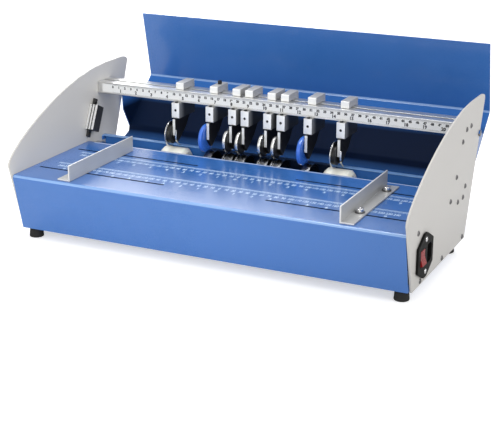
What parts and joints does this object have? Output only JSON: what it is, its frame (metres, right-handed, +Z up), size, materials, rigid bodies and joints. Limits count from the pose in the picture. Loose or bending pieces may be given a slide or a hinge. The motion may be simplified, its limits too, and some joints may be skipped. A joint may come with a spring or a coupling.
{
  "type": "electric creasing machine",
  "caption": "Table-top electric creasing machine: sheets pass between wheels on sliding heads and collars on a driven shaft, under a hinged cover, along two paper guides.",
  "frame": {"origin": "middle of the footprint, on the surface that the four feet stand on", "axes": "+X right seen from the front, along the driven shaft; +Y back, the way the paper runs; +Z up"},
  "size_m": [0.5614, 0.3734, 0.2558],
  "materials": {
    "blue_paint": "satin blue coat",
    "plate_white": "satin warm white coat",
    "aluminium": "satin anodised",
    "scale_white": "printed strip",
    "steel": "ground",
    "chrome": "plated",
    "dark_steel": "blackened",
    "cream_nylon": "turned nylon",
    "blue_wheel": "gloss",
    "black_rubber": "matte",
    "black_plastic": "moulded",
    "red_switch": "gloss",
    "motor_grey": "satin"
  },
  "bodies": {
    "base": {"table_housing": "blue_paint", "rear_panel": "blue_paint", "base_pan": "blue_paint", "left_side_plate": "plate_white", "right_side_plate": "plate_white", "tool_beam": "aluminium", "beam_scale": "scale_white", "foot_front_left": "black_rubber", "foot_front_right": "black_rubber", "foot_rear_left": "black_rubber", "foot_rear_right": "black_rubber", "power_inlet": "black_plastic", "magnet_catch_left": "dark_steel", "magnet_catch_right": "dark_steel", "gear_motor": "motor_grey", "shaft_bearing_left": "steel", "shaft_bearing_right": "steel"},
    "cover": {"rear_cover": "blue_paint"},
    "shaft": {"drive_shaft": "steel", "shaft_gear": "steel"},
    "pinion": {"motor_pinion": "steel"},
    "rocker": {"rocker_switch": "red_switch"},
    "head_1": {"head_clamp_1": "aluminium", "head_arm_1": "dark_steel"},
    "wheel_1": {"head_wheel_1": "dark_steel"},
    "collar_1": {"shaft_collar_1": "cream_nylon"},
    "head_2": {"head_clamp_2": "aluminium", "head_arm_2": "dark_steel"},
    "wheel_2": {"head_wheel_2": "blue_wheel"},
    "collar_2": {"shaft_collar_2": "steel"},
    "head_3": {"head_clamp_3": "aluminium", "head_arm_3": "dark_steel"},
    "wheel_3": {"head_wheel_3": "steel"},
    "collar_3": {"shaft_collar_3": "steel"},
    "head_4": {"head_clamp_4": "aluminium", "head_arm_4": "dark_steel"},
    "wheel_4": {"head_wheel_4": "steel"},
    "collar_4": {"shaft_collar_4": "steel"},
    "head_5": {"head_clamp_5": "aluminium", "head_arm_5": "dark_steel"},
    "wheel_5": {"head_wheel_5": "steel"},
    "collar_5": {"shaft_collar_5": "steel"},
    "head_6": {"head_clamp_6": "aluminium", "head_arm_6": "dark_steel"},
    "wheel_6": {"head_wheel_6": "steel"},
    "collar_6": {"shaft_collar_6": "steel"},
    "head_7": {"head_clamp_7": "aluminium", "head_arm_7": "dark_steel"},
    "wheel_7": {"head_wheel_7": "blue_wheel"},
    "collar_7": {"shaft_collar_7": "steel"},
    "head_8": {"head_clamp_8": "aluminium", "head_arm_8": "dark_steel"},
    "wheel_8": {"head_wheel_8": "dark_steel"},
    "collar_8": {"shaft_collar_8": "cream_nylon"},
    "left_guide_body": {"left_guide": "aluminium"},
    "left_screw_front": {"left_guide_screw_front": "chrome"},
    "left_screw_rear": {"left_guide_screw_rear": "chrome"},
    "right_guide_body": {"right_guide": "aluminium"},
    "right_screw_front": {"right_guide_screw_front": "chrome"},
    "right_screw_rear": {"right_guide_screw_rear": "chrome"}
  },
  "joints": [
    {"name": "cover_hinge", "type": "hinge", "parent": "base", "child": "cover", "pos_m": [-0.00205, 0.1048, 0.147], "axis": [1, 0, 0], "range_deg": [0, 142.4]},
    {"name": "shaft_spin", "type": "hinge", "parent": "base", "child": "shaft", "pos_m": [-0.00205, 0.0304, 0.0756], "axis": [1, 0, 0], "continuous": true},
    {"name": "pinion_spin", "type": "hinge", "parent": "base", "child": "pinion", "pos_m": [-0.00205, 0.01299, 0.05819], "axis": [1, 0, 0], "continuous": true},
    {"name": "rocker_tilt", "type": "hinge", "parent": "base", "child": "rocker", "pos_m": [0.27425, -0.1312, 0.0495], "axis": [0, 1, 0], "range_deg": [0, 18]},
    {"name": "head_1_slide", "type": "slide", "parent": "base", "child": "head_1", "axis": [1, 0, 0], "range_m": [-0.095, 0.012]},
    {"name": "collar_1_slide", "type": "slide", "parent": "shaft", "child": "collar_1", "axis": [1, 0, 0], "range_m": [-0.095, 0.012]},
    {"name": "wheel_1_spin", "type": "hinge", "parent": "head_1", "child": "wheel_1", "pos_m": [-0.14435, 0.0304, 0.1139], "axis": [1, 0, 0], "continuous": true},
    {"name": "head_2_slide", "type": "slide", "parent": "base", "child": "head_2", "axis": [1, 0, 0], "range_m": [-0.012, 0.0072]},
    {"name": "collar_2_slide", "type": "slide", "parent": "shaft", "child": "collar_2", "axis": [1, 0, 0], "range_m": [-0.012, 0.0072]},
    {"name": "wheel_2_spin", "type": "hinge", "parent": "head_2", "child": "wheel_2", "pos_m": [-0.09065, 0.0304, 0.1139], "axis": [1, 0, 0], "continuous": true},
    {"name": "head_3_slide", "type": "slide", "parent": "base", "child": "head_3", "axis": [1, 0, 0], "range_m": [-0.0072, 0.0008]},
    {"name": "collar_3_slide", "type": "slide", "parent": "shaft", "child": "collar_3", "axis": [1, 0, 0], "range_m": [-0.0072, 0.0008]},
    {"name": "wheel_3_spin", "type": "hinge", "parent": "head_3", "child": "wheel_3", "pos_m": [-0.05545, 0.0304, 0.1139], "axis": [1, 0, 0], "continuous": true},
    {"name": "head_4_slide", "type": "slide", "parent": "base", "child": "head_4", "axis": [1, 0, 0], "range_m": [-0.0008, 0.0083]},
    {"name": "collar_4_slide", "type": "slide", "parent": "shaft", "child": "collar_4", "axis": [1, 0, 0], "range_m": [-0.0008, 0.0083]},
    {"name": "wheel_4_spin", "type": "hinge", "parent": "head_4", "child": "wheel_4", "pos_m": [-0.03625, 0.0304, 0.1139], "axis": [1, 0, 0], "continuous": true},
    {"name": "head_5_slide", "type": "slide", "parent": "base", "child": "head_5", "axis": [1, 0, 0], "range_m": [-0.0083, 0.0012]},
    {"name": "collar_5_slide", "type": "slide", "parent": "shaft", "child": "collar_5", "axis": [1, 0, 0], "range_m": [-0.0083, 0.0012]},
    {"name": "wheel_5_spin", "type": "hinge", "parent": "head_5", "child": "wheel_5", "pos_m": [-0.00205, 0.0304, 0.1139], "axis": [1, 0, 0], "continuous": true},
    {"name": "head_6_slide", "type": "slide", "parent": "base", "child": "head_6", "axis": [1, 0, 0], "range_m": [-0.0012, 0.0117]},
    {"name": "collar_6_slide", "type": "slide", "parent": "shaft", "child": "collar_6", "axis": [1, 0, 0], "range_m": [-0.0012, 0.0117]},
    {"name": "wheel_6_spin", "type": "hinge", "parent": "head_6", "child": "wheel_6", "pos_m": [0.01805, 0.0304, 0.1139], "axis": [1, 0, 0], "continuous": true},
    {"name": "head_7_slide", "type": "slide", "parent": "base", "child": "head_7", "axis": [1, 0, 0], "range_m": [-0.0117, 0.008]},
    {"name": "collar_7_slide", "type": "slide", "parent": "shaft", "child": "collar_7", "axis": [1, 0, 0], "range_m": [-0.0117, 0.008]},
    {"name": "wheel_7_spin", "type": "hinge", "parent": "head_7", "child": "wheel_7", "pos_m": [0.05795, 0.0304, 0.1139], "axis": [1, 0, 0], "continuous": true},
    {"name": "head_8_slide", "type": "slide", "parent": "base", "child": "head_8", "axis": [1, 0, 0], "range_m": [-0.008, 0.08]},
    {"name": "collar_8_slide", "type": "slide", "parent": "shaft", "child": "collar_8", "axis": [1, 0, 0], "range_m": [-0.008, 0.08]},
    {"name": "wheel_8_spin", "type": "hinge", "parent": "head_8", "child": "wheel_8", "pos_m": [0.10565, 0.0304, 0.1139], "axis": [1, 0, 0], "continuous": true},
    {"name": "left_guide_slide", "type": "slide", "parent": "base", "child": "left_guide_body", "axis": [1, 0, 0], "range_m": [-0.0638, 0.1242]},
    {"name": "left_screw_front_turn", "type": "hinge", "parent": "left_guide_body", "child": "left_screw_front", "pos_m": [-0.20025, -0.1318, 0.0934], "axis": [0, 0, 1], "range_deg": [0, 360]},
    {"name": "left_screw_rear_turn", "type": "hinge", "parent": "left_guide_body", "child": "left_screw_rear", "pos_m": [-0.20025, -0.0354, 0.0934], "axis": [0, 0, 1], "range_deg": [0, 360]},
    {"name": "right_guide_slide", "type": "slide", "parent": "base", "child": "right_guide_body", "axis": [1, 0, 0], "range_m": [-0.1242, 0.0638]},
    {"name": "right_screw_front_turn", "type": "hinge", "parent": "right_guide_body", "child": "right_screw_front", "pos_m": [0.19615, -0.1318, 0.0934], "axis": [0, 0, 1], "range_deg": [0, 360]},
    {"name": "right_screw_rear_turn", "type": "hinge", "parent": "right_guide_body", "child": "right_screw_rear", "pos_m": [0.19615, -0.0354, 0.0934], "axis": [0, 0, 1], "range_deg": [0, 360]}
  ],
  "couplings": [
    {"joint": "pinion_spin", "follows": "shaft_spin", "ratio": -2},
    {"joint": "collar_1_slide", "follows": "head_1_slide", "ratio": 1},
    {"joint": "wheel_1_spin", "follows": "shaft_spin", "ratio": -1},
    {"joint": "collar_2_slide", "follows": "head_2_slide", "ratio": 1},
    {"joint": "wheel_2_spin", "follows": "shaft_spin", "ratio": -1.08},
    {"joint": "collar_3_slide", "follows": "head_3_slide", "ratio": 1},
    {"joint": "wheel_3_spin", "follows": "shaft_spin", "ratio": -1.3171},
    {"joint": "collar_4_slide", "follows": "head_4_slide", "ratio": 1},
    {"joint": "wheel_4_spin", "follows": "shaft_spin", "ratio": -1.3171},
    {"joint": "collar_5_slide", "follows": "head_5_slide", "ratio": 1},
    {"joint": "wheel_5_spin", "follows": "shaft_spin", "ratio": -1.3171},
    {"joint": "collar_6_slide", "follows": "head_6_slide", "ratio": 1},
    {"joint": "wheel_6_spin", "follows": "shaft_spin", "ratio": -1.3171},
    {"joint": "collar_7_slide", "follows": "head_7_slide", "ratio": 1},
    {"joint": "wheel_7_spin", "follows": "shaft_spin", "ratio": -1.08},
    {"joint": "collar_8_slide", "follows": "head_8_slide", "ratio": 1},
    {"joint": "wheel_8_spin", "follows": "shaft_spin", "ratio": -1}
  ]
}
